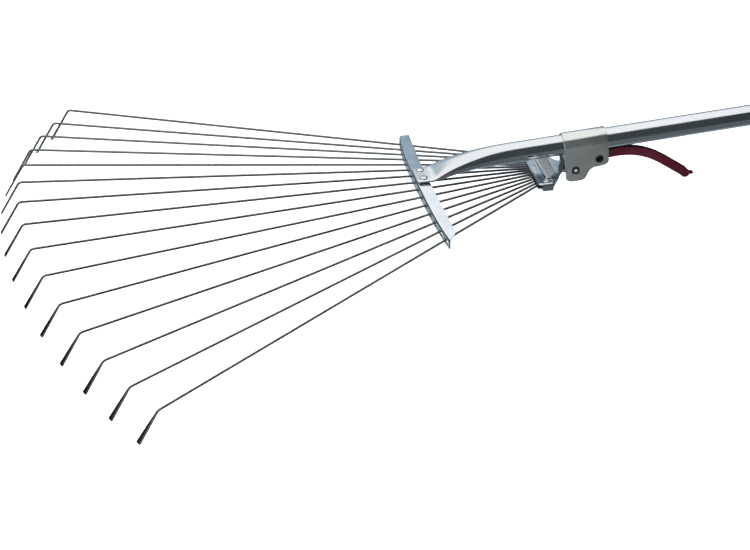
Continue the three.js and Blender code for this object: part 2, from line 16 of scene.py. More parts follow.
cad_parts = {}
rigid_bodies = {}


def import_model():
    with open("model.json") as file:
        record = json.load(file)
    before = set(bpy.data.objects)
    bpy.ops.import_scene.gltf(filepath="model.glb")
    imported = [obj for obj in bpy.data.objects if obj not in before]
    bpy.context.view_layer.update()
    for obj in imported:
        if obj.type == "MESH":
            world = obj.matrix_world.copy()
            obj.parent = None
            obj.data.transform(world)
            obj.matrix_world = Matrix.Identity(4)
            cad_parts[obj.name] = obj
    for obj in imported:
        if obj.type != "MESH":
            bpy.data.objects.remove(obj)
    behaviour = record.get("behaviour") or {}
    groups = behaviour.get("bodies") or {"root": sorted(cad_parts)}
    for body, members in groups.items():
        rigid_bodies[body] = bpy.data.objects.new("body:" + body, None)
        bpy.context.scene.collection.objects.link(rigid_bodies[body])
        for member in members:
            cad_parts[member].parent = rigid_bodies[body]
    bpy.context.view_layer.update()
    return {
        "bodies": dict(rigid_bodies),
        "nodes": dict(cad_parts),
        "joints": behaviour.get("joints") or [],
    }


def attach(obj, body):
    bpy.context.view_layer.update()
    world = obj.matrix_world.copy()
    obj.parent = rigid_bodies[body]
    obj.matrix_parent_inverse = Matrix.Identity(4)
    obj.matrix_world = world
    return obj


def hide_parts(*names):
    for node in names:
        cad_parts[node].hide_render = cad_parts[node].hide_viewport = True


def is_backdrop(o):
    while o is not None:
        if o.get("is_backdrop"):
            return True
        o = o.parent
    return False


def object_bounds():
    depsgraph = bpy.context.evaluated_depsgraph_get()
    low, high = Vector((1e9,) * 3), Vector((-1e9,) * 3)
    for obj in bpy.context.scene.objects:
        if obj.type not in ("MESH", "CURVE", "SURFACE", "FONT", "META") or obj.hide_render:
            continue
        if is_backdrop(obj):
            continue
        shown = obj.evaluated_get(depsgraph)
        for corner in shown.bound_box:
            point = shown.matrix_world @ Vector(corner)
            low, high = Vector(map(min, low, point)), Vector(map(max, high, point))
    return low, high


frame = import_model()

# ---------------------------------------------------------------- driving dimensions

MM = 0.001
GAP = 0.3  # left between neighbouring pieces
PLAY = 0.1  # between a rivet or plug and its hole

TUBE_TILT = 0.0578  # radians between the tube and the fan
TUBE_RISE = 17.15  # tube axis above the middle slot
TUBE_WALL = 1.2
TUBE_SIDES = 96
TUBE_ROUND_FROM = 112  # in front of this the tube is drawn down and flattened
BORE_FRONT = 44
TONGUE_LENGTH = 18
TONGUE_HALF_WIDTH = 16.2
TONGUE_THICKNESS = 2 * TUBE_WALL
TONGUE_CORNER = 3
TONGUE_CREASE = 0.03  # softness of the crease behind the tongue, as a share of the flare

WIRE = 2.5
WIRE_SIDES = 20
WIRE_BEND = 3.4  # from a corner to where the wire starts to curve
SLOT_PITCH = 15
TINE_REACH = 543  # bent end to front bend
TIP_LENGTH = 40
TIP_FLARE_FROM = 4  # from the front bend to where the wire starts to widen
TIP_WEAR = 1.5  # length of the rounded end
TIP_WIDTH = 5.7  # where it is beaten flat, at the end
TIP_THICKNESS = 1.95
TIP_ANGLE = math.radians(59.5)  # below the fan
HOOK_LENGTH = 11
HOOK_ANGLE = math.radians(50)  # above the fan

BAR_BOW = 8.27  # the outer slots sit this far behind the middle one
BAR_ARCH = (16.27, -5.43)  # fall of the bar at the outer slots: square and fourth-power parts
SHEET = 1.5
WEB_ABOVE = 6.5
WEB_BELOW = 4.7
BAR_FOLD = 2.4
FLANGE_WIDTH = 13.5
FLANGE_END_WIDTH = 11
FLANGE_TAPER = 40
FLANGE_CORNER = (9.2, 16)  # cut from the flange's corner at its right end
SLOT_HEIGHT = 4.4
BAR_RIVET = (8, 8.65)
BAR_RIVET_RADIUS = 2
BAR_RIVET_HEAD = 4.25

LEVER_PIN = (194.2, -16.4)  # along and above the tube's axis
PIN_RADIUS = 3
PIN_BORE = 2
PIN_FLANGE = 4.3
PIN_RECESS = 2.4
LEVER_WIDTH = 6
LEVER_DEPTH = (9.8, 9.2)  # at the pin and at the tail
LEVER_LENGTH = 103  # along its curve, from the pin to where the tail rounds off
LEVER_DROP = 2  # its spine below the pin's centre
LEVER_SLOPE = 4  # degrees up from the tube's line, at the pin
LEVER_BEND = 43  # degrees that it then bends down
LEVER_BENT = (6, 84)  # where along it the bend starts and ends
CAM_WIDTH = 21

HEAD_ROOF = WIRE / 2 + GAP
HEAD_FLOOR = -WIRE / 2 - 1.5
HEAD_RIVET = (132.8, 31.8)
HEAD_RIVET_RADIUS = 1.6
HEAD_RIVET_HEAD = 3
EAR_RADIUS = 4.8

# ---------------------------------------------------------------- local frames, from the joints

joints = {joint["name"]: joint for joint in frame["joints"]}


def local_frame(along, origin):
    """The matrix from millimetres in a local frame, whose X axis runs along, to metres in the row frame."""
    left = Vector((0, 1, 0))
    turn = Matrix((along, left, along.cross(left))).transposed()
    return Matrix.Translation(origin) @ turn.to_4x4() @ Matrix.Scale(MM, 4)


tube_way = Vector(joints["bracket_slide"]["axis"]).normalized()
tube_up = tube_way.cross(Vector((0, 1, 0)))
lever_pin_offset = MM * (LEVER_PIN[0] * tube_way + LEVER_PIN[1] * tube_up)
handle_origin = Vector(joints["lever_turn"]["pos_m"]) - lever_pin_offset
HANDLE = local_frame(tube_way, handle_origin)
fan_way = math.cos(TUBE_TILT) * tube_way - math.sin(TUBE_TILT) * tube_up
fan_up = math.sin(TUBE_TILT) * tube_way + math.cos(TUBE_TILT) * tube_up
FAN = local_frame(fan_way, handle_origin - MM * TUBE_RISE * fan_up)


def joint_place(name, space):
    return space.inverted() @ Vector(joints[name]["pos_m"])


def extent(node, space):
    """A CAD node's lowest and highest corner in a local frame, in millimetres."""
    points = [space.inverted() @ v.co for v in frame["nodes"][node].data.vertices]
    return [Vector(pick(p[i] for p in points) for i in range(3)) for pick in (min, max)]


tube_high = extent("handle_tube", HANDLE)[1]
TUBE_RADIUS = tube_high.z
TUBE_END = tube_high.x
grip_low, grip_high = extent("hand_grip", HANDLE)
cap_low, cap_high = extent("end_cap", HANDLE)
bar_high = extent("cross_bar", FAN)[1]
bracket_low, bracket_high = extent("slider_bracket", HANDLE)
head_low, head_high = extent("head_top_plate", FAN)
HEAD_PIN = joint_place("head_turn", HANDLE)
HEAD_EAR = joint_place("head_turn", FAN)
outer_pivot = joint_place("tine_01_swivel", FAN)
tine_names = [name for name in sorted(frame["nodes"]) if name.startswith("tine_")]
OUTER = (len(tine_names) - 1) // 2
OUTER_SLOT = OUTER * SLOT_PITCH

# ---------------------------------------------------------------- making meshes


def ring_centre(ring):
    return sum((Vector(p) for p in ring), Vector()) / len(ring)


def loft(rings, closed=False):
    """A skin through rings of points, capped at both ends, or joined end to start if closed."""
    bm = bmesh.new()
    uv = bm.loops.layers.uv.new("along")
    loops = [[bm.verts.new(p) for p in ring] for ring in rings]
    reach = [0.0]
    for near, far in zip(rings, rings[1:]):
        reach.append(reach[-1] + (ring_centre(far) - ring_centre(near)).length)
    spans = [(i, i + 1) for i in range(len(rings) - 1)]
    if closed:
        spans.append((len(rings) - 1, 0))
    count = len(rings[0])
    for a, b in spans:
        for i in range(count):
            j = (i + 1) % count
            face = bm.faces.new((loops[a][i], loops[a][j], loops[b][j], loops[b][i]))
            corners = ((i, a), (i + 1, a), (i + 1, b), (i, b))
            for loop, (side, ring) in zip(face.loops, corners):
                loop[uv].uv = (side / count, reach[ring] * MM)
    if not closed:
        for end, ring in ((0, loops[0]), (-1, loops[-1][::-1])):
            for loop in bm.faces.new(ring).loops:
                loop[uv].uv = (0, reach[end] * MM)
    bmesh.ops.recalc_face_normals(bm, faces=bm.faces)
    return bm


def sweep(outline, low, high, place):
    """A prism: the outline's points carried from low to high, each point put by place(a, b, height)."""
    return loft([[place(a, b, h) for a, b in outline] for h in (low, high)])


def upright(a, b, height):
    return (a, b, height)


def sideways(a, b, height):
    return (a, height, b)


def lengthways(a, b, height):
    return (height, a, b)


def turned(profile, sides, place, closed=False):
    """A body turned from points out from its axis and along it."""
    angles = [2 * math.pi * i / sides for i in range(sides)]
    return loft([[place(r * math.cos(t), r * math.sin(t), h) for t in angles] for r, h in profile], closed)


def arc(x, z, radius, start, end, steps=12):
    angles = [math.radians(start + (end - start) * i / steps) for i in range(steps + 1)]
    return [(x + radius * math.cos(t), z + radius * math.sin(t)) for t in angles]


def bezier(*controls, steps=20):
    """Points along a Bezier curve, without its first."""
    points = []
    for i in range(1, steps + 1):
        level = [Vector(c) for c in controls]
        while len(level) > 1:
            level = [a.lerp(b, i / steps) for a, b in zip(level, level[1:])]
        points.append(tuple(level[0]))
    return points


def rounded(corners, radii, steps=6):
    """An outline with each corner turned into a curve that starts a radius away from it."""
    points = []
    for i, corner in enumerate(corners):
        radius = radii[i] if isinstance(radii, (list, tuple)) else radii
        here = Vector(corner)
        ends = [here + radius * (Vector(other) - here).normalized()
                for other in (corners[i - 1], corners[(i + 1) % len(corners)])]
        points.append(tuple(ends[0]))
        points += bezier(ends[0], here, ends[1], steps=steps)
    return points


def mirrored(half):
    """The whole outline from the half on the left of the X axis."""
    return half + [(x, -y) for x, y in reversed(half)]


def widened(outline, by):
    """A convex outline with its sides moved outwards."""
    middle = sum((Vector(p) for p in outline), Vector((0, 0))) / len(outline)
    points = []
    for i, corner in enumerate(outline):
        before = (Vector(corner) - Vector(outline[i - 1])).normalized()
        after = (Vector(outline[(i + 1) % len(outline)]) - Vector(corner)).normalized()
        normals = [Vector((w.y, -w.x)) for w in (before, after)]
        normals = [n if n.dot(Vector(corner) - middle) > 0 else -n for n in normals]
        corner_way = (normals[0] + normals[1]).normalized()
        points.append(tuple(Vector(corner) + by / corner_way.dot(normals[0]) * corner_way))
    return points


def smoothstep(value, low, high):
    t = min(1, max(0, (value - low) / (high - low)))
    return t * t * (3 - 2 * t)


def as_object(bm, name="tool"):
    mesh = bpy.data.meshes.new(name)
    bm.to_mesh(mesh)
    bm.free()
    made = bpy.data.objects.new(name, mesh)
    bpy.context.scene.collection.objects.link(made)
    return made


def bake(piece):
    """Applies the piece's modifiers to its mesh."""
    ready = piece.evaluated_get(bpy.context.evaluated_depsgraph_get())
    mesh = bpy.data.meshes.new_from_object(ready)
    piece.modifiers.clear()
    old = piece.data
    piece.data = mesh
    bpy.data.meshes.remove(old)
    return piece


def carve(piece, operation, *tools):
    """Joins tools to the piece, cuts them from it, or keeps what they share."""
    for tool in tools:
        cutter = as_object(tool)
        step = piece.modifiers.new("carve", "BOOLEAN")
        step.operation = operation
        step.solver = "EXACT"
        step.object = cutter
        bake(piece)
        bpy.data.objects.remove(cutter)


def drill(piece, radius, reach, place, sides=32):
    """A round hole for a rivet; reach is its two ends, and place puts its turned profile where it goes."""
    low, high = reach
    carve(piece, "DIFFERENCE", turned([(radius + PLAY, low), (radius + PLAY, high)], sides, place))


def soften(piece, width, segments=3, angle=35):
    """Rounds the piece's sharp edges."""
    step = piece.modifiers.new("soften", "BEVEL")
    step.width = width
    step.segments = segments
    step.limit_method = "ANGLE"
    step.angle_limit = math.radians(angle)
    step.miter_outer = "MITER_ARC"
    return bake(piece)


def settle(piece, name, space, body, nodes, slot, *materials):
    """Carries a finished piece into the row frame, in place of its CAD nodes."""
    piece.name = name
    piece.data.name = name
    piece.data.transform(space)
    piece.data.shade_smooth()
    piece.data.set_sharp_from_angle(angle=math.radians(32))
    for material in materials:
        piece.data.materials.append(material)
    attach(piece, body)
    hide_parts(*nodes)


# ---------------------------------------------------------------- materials


def add_node(tree, kind, inputs, **settings):
    """A node, with its settings, whose inputs are given as numbers, colours or other nodes' outputs."""
    node = tree.nodes.new(kind)
    for key, value in settings.items():
        setattr(node, key, value)
    for key, value in inputs.items():
        if isinstance(value, bpy.types.NodeSocket):
            tree.links.new(value, node.inputs[key])
        else:
            node.inputs[key].default_value = value
    return node


def noise(tree, scale, stretch=(1, 1, 1), detail=4, rough=0.55, source="Object", turn=0.0):
    """Noise in the piece's own coordinates, with scale features to a metre, stretched along each axis."""
    where = tree.nodes.new("ShaderNodeTexCoord").outputs[source]
    sizes = [s / scale for s in stretch]
    placed = add_node(tree, "ShaderNodeMapping", {
        "Vector": where, "Rotation": (0, -turn, 0), "Scale": sizes}, vector_type="TEXTURE")
    made = add_node(tree, "ShaderNodeTexNoise", {
        "Vector": placed.outputs["Vector"], "Scale": 1.0, "Detail": detail, "Roughness": rough})
    return made.outputs["Fac"]


def span(tree, value, low, high, from_low=0.3, from_high=0.7):
    made = add_node(tree, "ShaderNodeMapRange", {
        "Value": value, "From Min": from_low, "From Max": from_high, "To Min": low, "To Max": high})
    return made.outputs["Result"]


def blend(tree, amount, first, second):
    made = add_node(tree, "ShaderNodeMix", {"Factor": amount}, data_type="RGBA")
    for socket, colour in ((made.inputs[6], first), (made.inputs[7], second)):
        if isinstance(colour, bpy.types.NodeSocket):
            tree.links.new(colour, socket)
        else:
            socket.default_value = (*colour, 1)
    return made.outputs[2]


def calculate(tree, operation, first, second):
    return add_node(tree, "ShaderNodeMath", {0: first, 1: second}, operation=operation).outputs[0]


def bump(tree, height, depth, below=None):
    inputs = {"Height": height, "Strength": 1.0, "Distance": depth}
    if below is not None:
        inputs["Normal"] = below
    return add_node(tree, "ShaderNodeBump", inputs).outputs["Normal"]


def surface(name, metallic, **constants):
    """A new material's shader, with the values that are the same all over."""
    made = bpy.data.materials.new(name)
    made.use_nodes = True
    shader = made.node_tree.nodes["Principled BSDF"]
    shader.inputs["Metallic"].default_value = metallic
    for key, value in constants.items():
        shader.inputs[key.replace("_", " ")].default_value = value
    return made, made.node_tree, shader


def link(tree, shader, **sources):
    for key, source in sources.items():
        tree.links.new(source, shader.inputs[key.replace("_", " ")])


TUBE_TURN = math.atan2(tube_way.z, tube_way.x)


def drawn_aluminium():
    """Bright drawn tube: long die lines, a little haze and a few rubs along it."""
    made, tree, shader = surface("drawn_aluminium", 1.0)
    lines = noise(tree, 2600, (500, 1, 1), detail=3, turn=TUBE_TURN)
    haze = noise(tree, 24, (4, 1, 1), detail=5, turn=TUBE_TURN)
    rubs = span(tree, noise(tree, 900, (90, 1, 1), detail=2, turn=TUBE_TURN), 0.0, 1.0, 0.66, 0.74)
    colour = blend(tree, span(tree, haze, 0.0, 1.0), (0.80, 0.82, 0.84), (0.90, 0.91, 0.92))
    colour = blend(tree, calculate(tree, "MULTIPLY", rubs, 0.35), colour, (0.62, 0.64, 0.66))
    smooth = calculate(tree, "ADD", span(tree, haze, 0.10, 0.19), calculate(tree, "MULTIPLY", rubs, 0.10))
    link(tree, shader, Base_Color=colour, Roughness=smooth, Normal=bump(tree, lines, 0.000012))
    return made


def zinc_plate(name, thin, thick):
    """Bright bluish zinc: cloudy passivation, soft pressing ripples and fine handling marks."""
    made, tree, shader = surface(name, 1.0)
    clouds = noise(tree, 70, detail=6, rough=0.6)
    ripples = noise(tree, 130, detail=2)
    marks = span(tree, noise(tree, 2200, (1, 18, 1), detail=3), 0.0, 1.0, 0.62, 0.72)
    colour = blend(tree, span(tree, clouds, 0.0, 1.0), thin, thick)
    colour = blend(tree, calculate(tree, "MULTIPLY", marks, 0.3), colour, (0.55, 0.58, 0.61))
    smooth = calculate(tree, "ADD", span(tree, clouds, 0.12, 0.24), calculate(tree, "MULTIPLY", marks, 0.12))
    normal = bump(tree, marks, 0.000006, bump(tree, ripples, 0.00016))
    link(tree, shader, Base_Color=colour, Roughness=smooth, Normal=normal)
    return made


def grey_sheet():
    """Pale grey galvanised sheet: faint spangle, cloudy tone and a finely pitted skin."""
    made, tree, shader = surface("grey_sheet", 0.92)
    spangle = add_node(tree, "ShaderNodeTexVoronoi", {
        "Vector": tree.nodes.new("ShaderNodeTexCoord").outputs["Object"], "Scale": 420.0, "Randomness": 1.0},
        feature="F1")
    tone = add_node(tree, "ShaderNodeSeparateColor", {"Color": spangle.outputs["Color"]}).outputs["Red"]
    dust = noise(tree, 60, detail=6, rough=0.65)
    pits = noise(tree, 2600, detail=3)
    colour = blend(tree, span(tree, dust, 0.0, 1.0), (0.79, 0.80, 0.76), (0.87, 0.88, 0.84))
    colour = blend(tree, calculate(tree, "MULTIPLY", tone, 0.16), colour, (0.92, 0.93, 0.91))
    smooth = span(tree, dust, 0.15, 0.23)
    link(tree, shader, Base_Color=colour, Roughness=smooth, Normal=bump(tree, pits, 0.00003))
    return made


def spring_steel():
    """Plated wire with draw lines along it and dull patches; towards the hook end its base turns near white,
    a painted highlight on the hooks in the head's window.
    """
    made, tree, shader = surface("spring_steel", 1.0)
    lines = noise(tree, 60, (1, 2.5, 1), detail=4, source="UV")
    patches = noise(tree, 45, detail=5, rough=0.6)
    grain = noise(tree, 3200, detail=2)
    colour = blend(tree, span(tree, patches, 0.0, 1.0), (0.19, 0.20, 0.205), (0.28, 0.29, 0.295))
    colour = blend(tree, span(tree, lines, 0.0, 0.35), colour, (0.36, 0.375, 0.38))
    # painted highlight: the base is near white within 12 mm of the hook end and fades back to the wire's
    # colour by 22 mm
    unrolled = tree.nodes.new("ShaderNodeTexCoord").outputs["UV"]
    where = add_node(tree, "ShaderNodeSeparateXYZ", {"Vector": unrolled})
    hook_highlight = span(tree, where.outputs["Y"], 1, 0, 0.012, 0.022)
    colour = blend(tree, hook_highlight, colour, (0.93, 0.95, 0.97))
    smooth = span(tree, patches, 0.22, 0.34)
    link(tree, shader, Base_Color=colour, Roughness=smooth, Normal=bump(tree, grain, 0.00001))
    return made


def dark_steel():
    """Dark oiled rivet steel, stained in patches."""
    made, tree, shader = surface("dark_steel", 1.0)
    stain = noise(tree, 500, detail=5, rough=0.6)
    colour = blend(tree, span(tree, stain, 0.0, 1.0), (0.045, 0.048, 0.05), (0.13, 0.135, 0.14))
    link(tree, shader, Base_Color=colour, Roughness=span(tree, stain, 0.32, 0.5),
         Normal=bump(tree, stain, 0.00006))
    return made


def pale_bore_highlight():
    """Pale metal for the walls and floor of the head pin's bore: a painted highlight."""
    made, tree, shader = surface("pale_bore_highlight", 0.3)
    cloud = noise(tree, 700, detail=4)
    link(tree, shader, Base_Color=blend(tree, cloud, (0.62, 0.65, 0.67), (0.90, 0.92, 0.94)),
         Roughness=span(tree, cloud, 0.3, 0.45), Normal=bump(tree, cloud, 0.00002))
    return made


def maroon_coating():
    """Dark red dipped coating: faint orange peel, and scuffs that have dulled it."""
    made, tree, shader = surface("maroon_coating", 0.0, Coat_Weight=0.05, Coat_Roughness=0.2, IOR=1.26)
    peel = noise(tree, 1100, detail=2)
    tone = noise(tree, 40, detail=5, rough=0.6)
    scuffs = span(tree, noise(tree, 500, (9, 1, 1), detail=5, rough=0.7), 0.0, 1.0, 0.6, 0.72)
    colour = blend(tree, span(tree, tone, 0.0, 1.0), (0.062, 0.003, 0.011), (0.088, 0.005, 0.017))
    colour = blend(tree, calculate(tree, "MULTIPLY", scuffs, 0.15), colour, (0.18, 0.05, 0.07))
    smooth = calculate(tree, "ADD", span(tree, tone, 0.34, 0.46), calculate(tree, "MULTIPLY", scuffs, 0.15))
    link(tree, shader, Base_Color=colour, Roughness=smooth, Normal=bump(tree, peel, 0.00005))
    return made


def shaded_lever_edge():
    """Almost black, for the lever's faces that don't face sideways: painted shade on its top and edges."""
    made, tree, shader = surface("shaded_lever_edge", 0.0, IOR=1.15)
    tone = noise(tree, 260, detail=5, rough=0.65)
    colour = blend(tree, span(tree, tone, 0.0, 1.0), (0.010, 0.006, 0.008), (0.030, 0.012, 0.016))
    link(tree, shader, Base_Color=colour, Roughness=span(tree, tone, 0.5, 0.7),
         Normal=bump(tree, tone, 0.00008))
    return made


def black_rubber():
    """Matt moulded rubber with a fine grain and a grey bloom."""
    made, tree, shader = surface("black_rubber", 0.0, IOR=1.5)
    grain = noise(tree, 2400, detail=3)
    bloom = noise(tree, 55, detail=6, rough=0.65)
    colour = blend(tree, span(tree, bloom, 0.0, 1.0), (0.014, 0.014, 0.015), (0.036, 0.036, 0.037))
    link(tree, shader, Base_Color=colour, Roughness=span(tree, bloom, 0.6, 0.8),
         Normal=bump(tree, grain, 0.00012))
    return made


def black_plastic():
    """Satin moulded plastic with a spark-eroded texture."""
    made, tree, shader = surface("black_plastic", 0.0, IOR=1.46)
    texture = noise(tree, 3200, detail=2)
    tone = noise(tree, 90, detail=4)
    colour = blend(tree, span(tree, tone, 0.0, 1.0), (0.012, 0.012, 0.013), (0.024, 0.024, 0.026))
    link(tree, shader, Base_Color=colour, Roughness=span(tree, tone, 0.36, 0.5),
         Normal=bump(tree, texture, 0.00004))
    return made


ALUMINIUM = drawn_aluminium()
ZINC = zinc_plate("zinc_plate", (0.74, 0.79, 0.84), (0.93, 0.95, 0.97))
# a darker, bluer copy of the zinc for the head plates: painted shade from the tube above them
SHADED_HEAD_ZINC = zinc_plate("shaded_head_zinc", (0.55, 0.63, 0.70), (0.82, 0.87, 0.92))
GREY_SHEET = grey_sheet()
SPRING_STEEL = spring_steel()
DARK_STEEL = dark_steel()
PALE_BORE_HIGHLIGHT = pale_bore_highlight()
MAROON = maroon_coating()
SHADED_LEVER_EDGE = shaded_lever_edge()
RUBBER = black_rubber()
PLASTIC = black_plastic()

# ---------------------------------------------------------------- handle


def tube_section(x):
    """Half width, half height, centre height and squareness of the tube at a station along it."""
    tongue_drop = TUBE_RISE - WEB_ABOVE - GAP - TONGUE_THICKNESS / 2
    past = (x - TONGUE_LENGTH) / (TUBE_ROUND_FROM - TONGUE_LENGTH)
    left = max(0.0, 1 - (past + math.hypot(past, TONGUE_CREASE)) / 2)
    # towards the tongue the tube widens first, flattens next and drops last
    wide = TUBE_RADIUS + (TONGUE_HALF_WIDTH - TUBE_RADIUS) * left ** 1.6
    high = TUBE_RADIUS - (TUBE_RADIUS - TONGUE_THICKNESS / 2) * left ** 2.6
    lift = -(tongue_drop + TUBE_TILT * min(x, TONGUE_LENGTH)) * left ** 3.2
    return wide, high, lift, 2 + 5 * left ** 6


def tube_ring(x, inset, wide, high, lift, square):
    """The tube's section at one station, drawn in by inset."""
    ring = []
    for i in range(TUBE_SIDES):
        angle = 2 * math.pi * i / TUBE_SIDES
        across, up = (math.copysign(abs(v) ** (2 / square), v) for v in (math.cos(angle), math.sin(angle)))
        ring.append((x, (wide - inset) * across, lift + (high - inset) * up))
    return ring


def corner_inset(distance, radius):
    """How far a corner of this radius has drawn in, at a distance from its end."""
    short = min(radius, max(0.0, radius - distance))
    return radius - math.sqrt(radius * radius - short * short)


def handle_tube():
    """The tube, open behind, its front end drawn down and flattened to a tongue with rivet holes."""
    end_edge = 0.25
    steps = 56
    tongue = [0, 0.06, 0.15, 0.3, 0.6, 1, 1.5, 2.2, 3, 6, 10, 13]
    flare_from = TONGUE_LENGTH - 3
    flare = [flare_from + (TUBE_ROUND_FROM - flare_from) * (i / steps) ** 1.3 for i in range(steps + 1)]
    stations = [*tongue, *flare, TUBE_END - end_edge, TUBE_END]
    outside = []
    for x in stations:
        wide, high, lift, square = tube_section(x)
        wide -= corner_inset(x, TONGUE_CORNER)
        edge = max(corner_inset(x, 0.3), corner_inset(TUBE_END - x, end_edge))
        outside.append(tube_ring(x, edge, wide, high, lift, square))
    hollow = [BORE_FRONT, *(x for x in stations if x > BORE_FRONT)]
    inside = [tube_ring(x, TUBE_WALL, *tube_section(x)) for x in hollow]
    wide, _, lift, square = tube_section(0)
    slit_wide = wide - 2 * TUBE_WALL - TONGUE_CORNER / 2  # the pressed-shut mouth in the tongue's end
    slit_high, slit_deep = 0.1, 1.6
    slit = [tube_ring(x, 0, slit_wide, slit_high, lift, square) for x in (0, slit_deep)]
    piece = as_object(loft([*inside, *reversed(outside), *slit]))
    to_handle = HANDLE.inverted() @ FAN
    x, y = BAR_RIVET
    for side in (-1, 1):
        drill(piece, BAR_RIVET_RADIUS, (WEB_ABOVE - 2, WEB_ABOVE + 6),
              lambda a, b, h: to_handle @ Vector((x + a, side * y + b, h)))
    settle(piece, "handle_tube_fine", HANDLE, "handle", ["handle_tube"], "tube", ALUMINIUM)


def hand_grip():
    """A rubber sleeve with rounded ribs between two plain cuffs."""
    front, rear, radius = grip_low.x, grip_high.x, grip_high.z
    bore = TUBE_RADIUS + 0.05
    cuff = 9
    ribs = 17
    pitch = (rear - front - 2 * cuff) / ribs
    outside = [(radius - 1.2, front), (radius - 0.5, front + 0.3), (radius - 0.1, front + 1),
               (radius, front + 2)]
    steps = 8
    groove = 1.1
    for i in range(ribs * steps + 1):
        wave = 0.5 - 0.5 * math.cos(2 * math.pi * i / steps)
        outside.append((radius - groove * wave ** 0.6, front + cuff + pitch * i / steps))
    outside += [(radius, rear - 0.6), (radius - 0.2, rear - 0.2), (radius - 0.6, rear)]
    piece = as_object(turned([(bore, front), *outside, (bore, rear)], 72, lengthways, closed=True))
    settle(piece, "hand_grip_fine", HANDLE, "handle", ["hand_grip"], "grip", RUBBER)


def end_cap():
    """A plug with a domed end and a hanging hole."""
    rear, radius = cap_high.x, cap_high.z
    plug = TUBE_RADIUS - TUBE_WALL - PLAY
    seat = TUBE_END + GAP
    shoulder = 3.5
    profile = [(0.2, cap_low.x), (plug - 1, cap_low.x), (plug, cap_low.x + 2), (plug, seat),
               (radius - 0.4, seat), (radius - 0.1, seat + 0.1), (radius, seat + 0.4)]
    profile += arc(radius - shoulder, rear - shoulder, shoulder, 0, 90, 10)
    profile += [(radius * 0.4, rear), (0.2, rear)]
    piece = as_object(turned(profile, 72, lengthways))
    hole_middle = (TUBE_END + rear) / 2
    hole_radius = 4.5
    flare = 1.4
    hole = [(hole_radius + corner_inset(radius - abs(y), flare), y) for y in
            [-radius - 1, *(-radius + flare * i / 4 for i in range(5))]]
    hole += [(r, -y) for r, y in reversed(hole)]
    tool = turned(hole, 40, sideways)
    bmesh.ops.translate(tool, vec=(hole_middle, 0, 0), verts=tool.verts)
    carve(piece, "DIFFERENCE", tool)
    settle(piece, "end_cap_fine", HANDLE, "handle", ["end_cap"], "cap", PLASTIC)


# ---------------------------------------------------------------- cross bar


def bar_back(y):
    return BAR_BOW * (y / OUTER_SLOT) ** 2


def bar_fall(y):
    return BAR_ARCH[0] * (y / OUTER_SLOT) ** 2 + BAR_ARCH[1] * (y / OUTER_SLOT) ** 4


def bar_profile(y):
    """The bar's folded section, with its edges and its fold rounded."""
    beyond = max(0.0, abs(y) - (bar_high.y - FLANGE_TAPER)) / FLANGE_TAPER
    width = FLANGE_WIDTH - (FLANGE_WIDTH - FLANGE_END_WIDTH) * beyond
    inner = WEB_ABOVE - SHEET
    corners = [(0, -WEB_BELOW), (0, WEB_ABOVE), (width, WEB_ABOVE), (width, inner), (SHEET, inner),
               (SHEET, -WEB_BELOW)]
    return rounded(corners, [0.3, BAR_FOLD, 0.3, 0.3, 1, 0.3])


def tine_turn(k, slide):
    """The angle between tine k and straight ahead, once the head has slid back this far."""
    across = k * SLOT_PITCH - tine_pivot(k).y
    return math.atan2(across, outer_pivot.x - bar_back(k * SLOT_PITCH) + slide)


def bar_slot(k):
    """A punch through the web, as wide as its tine's slanting wire and the tine's swing."""
    travel = joints["bracket_slide"]["range_m"][1] / MM
    steepest, halfway, drawn_in = (abs(tine_turn(k, travel * share)) for share in (0, 0.5, 1))
    swing = ((steepest + drawn_in) / 2 - halfway) * (outer_pivot.x + travel / 2) / math.cos(halfway) ** 2
    width = WIRE / math.cos(steepest) + SHEET * math.tan(steepest) + 3 * GAP + swing
    y = k * SLOT_PITCH + math.copysign(swing / 2, k)
    end = min(width, SLOT_HEIGHT) / 2
    stretch = SLOT_HEIGHT / (2 * end)
    flat = width / 2 - end
    outline = arc(flat, 0, end, -90, 90, 14) + arc(-flat, 0, end, 90, 270, 14)
    outline = [(a, b * stretch) for a, b in outline]
    tool = sweep(outline, -4 * SHEET, 4 * SHEET, lengthways)
    slope = math.atan((bar_fall(y + 1) - bar_fall(y - 1)) / 2)
    put = Matrix.Translation((bar_back(y), y, -bar_fall(y))) @ Matrix.Rotation(-slope, 4, "X")
    bmesh.ops.transform(tool, matrix=put, verts=tool.verts)
    return tool


def cross_bar():
    """The folded bar: an arched web with a slot for each tine, under a flange that carries the handle."""
    half = bar_high.y
    end_edge = 0.3
    steps = 96
    left_end = [half - end_edge * share for share in (0, 0.3, 1)]
    length = [half * (1 - 2 * i / steps) for i in range(1, steps)]
    stations = [*left_end, *length, *(-y for y in reversed(left_end))]
    rings = [[(x + bar_back(y), y, z - bar_fall(y)) for x, z in bar_profile(y)] for y in stations]
    piece = as_object(loft(rings))
    x, y = BAR_RIVET
    for side in (-1, 1):
        drill(piece, BAR_RIVET_RADIUS, (WEB_ABOVE - 4, WEB_ABOVE + 2),
              lambda a, b, h: (x + a, side * y + b, h))
    end = bar_back(half) + SHEET
    deep, long = FLANGE_CORNER
    cut = bezier((end, -half), (end + 0.8 * deep, long / 2 - half), (end + deep, long - half), steps=8)
    corner = [(end, -half), *cut, (end + 2 * deep, long - half), (end + 2 * deep, -half - 1),
              (end, -half - 1)]
    carve(piece, "DIFFERENCE", sweep(corner, -4 * WEB_ABOVE, 2 * WEB_ABOVE, upright))
    carve(piece, "DIFFERENCE", *(bar_slot(k) for k in range(-OUTER, OUTER + 1)))
    settle(piece, "cross_bar_fine", FAN, "handle", ["cross_bar"], "zinc", ZINC)


